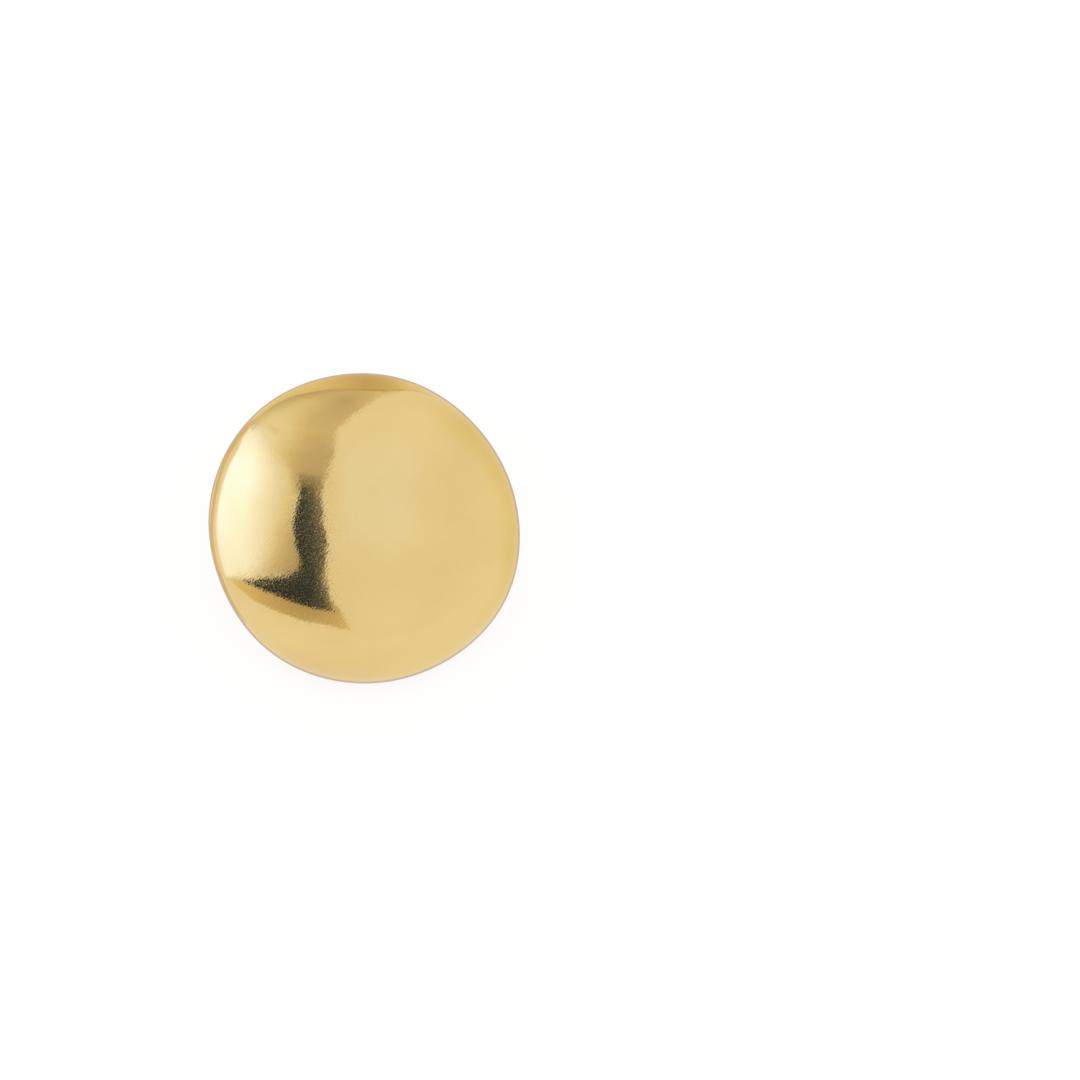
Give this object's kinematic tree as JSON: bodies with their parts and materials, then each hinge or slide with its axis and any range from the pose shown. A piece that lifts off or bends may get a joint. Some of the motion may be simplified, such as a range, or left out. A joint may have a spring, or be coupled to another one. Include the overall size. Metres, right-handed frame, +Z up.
{
  "type": "button earring",
  "caption": "Round domed button earring in polished gold-plated metal: a hollow dome with a turned edge, a closed back with an ear post, and a friction nut.",
  "frame": {"origin": "on the ground, under the middle of the earring's box as it lies on its back, resting on the dome's edge and the tip of the post", "axes": "+Z is up. The dome faces up and towards -Y, 32 degrees from +Z, and +X is to the right in the picture. The dome's top in the picture points to +Y and up."},
  "size_m": [0.028, 0.0246, 0.0181],
  "materials": {
    "polished_gold_plate": "hand polished, with fine scratches",
    "satin_gold_plate": "satin",
    "bright_gold_plate": "bright rolled strip"
  },
  "bodies": {
    "root": {"dome_shell": "polished_gold_plate", "back_plate": "satin_gold_plate", "ear_nut": "bright_gold_plate"}
  },
  "joints": []
}
